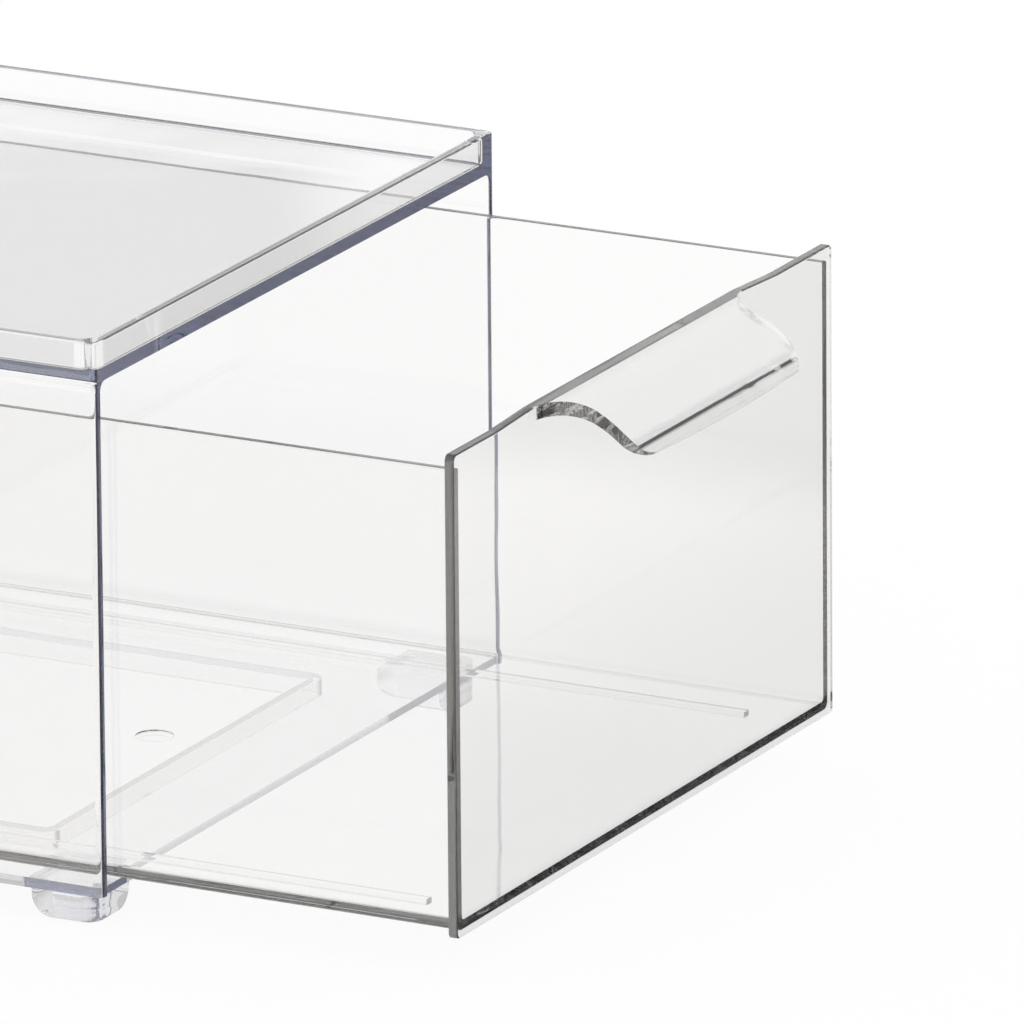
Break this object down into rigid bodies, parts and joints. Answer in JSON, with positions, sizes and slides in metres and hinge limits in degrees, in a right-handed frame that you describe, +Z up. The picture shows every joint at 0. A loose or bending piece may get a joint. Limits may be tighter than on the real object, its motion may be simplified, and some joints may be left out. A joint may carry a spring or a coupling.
{
  "type": "stackable drawer box",
  "caption": "Clear plastic box with a pull-out drawer: an open-fronted casing on corner feet, a deck sunk inside a raised rim for stacking, and a flat drawer front with a flared pull lip.",
  "frame": {"origin": "on the ground, in the plane of the four soles, under the middle of the casing", "axes": "+X to the right seen from the front, the front faces -Y, +Z up"},
  "size_m": [0.1524, 0.2917, 0.1092],
  "materials": {
    "casing_plastic": "clear, polished as moulded",
    "drawer_plastic": "clear, polished as moulded"
  },
  "bodies": {
    "casing": {"casing_shell": "casing_plastic", "base_plate": "casing_plastic", "foot_front_left": "casing_plastic", "foot_front_right": "casing_plastic", "foot_back_left": "casing_plastic", "foot_back_right": "casing_plastic"},
    "drawer": {"drawer_tray": "drawer_plastic", "drawer_front": "drawer_plastic"}
  },
  "joints": [
    {"name": "drawer_slide", "type": "slide", "parent": "casing", "child": "drawer", "axis": [0, -1, 0], "range_m": [-0.0701, 0.0799]}
  ]
}
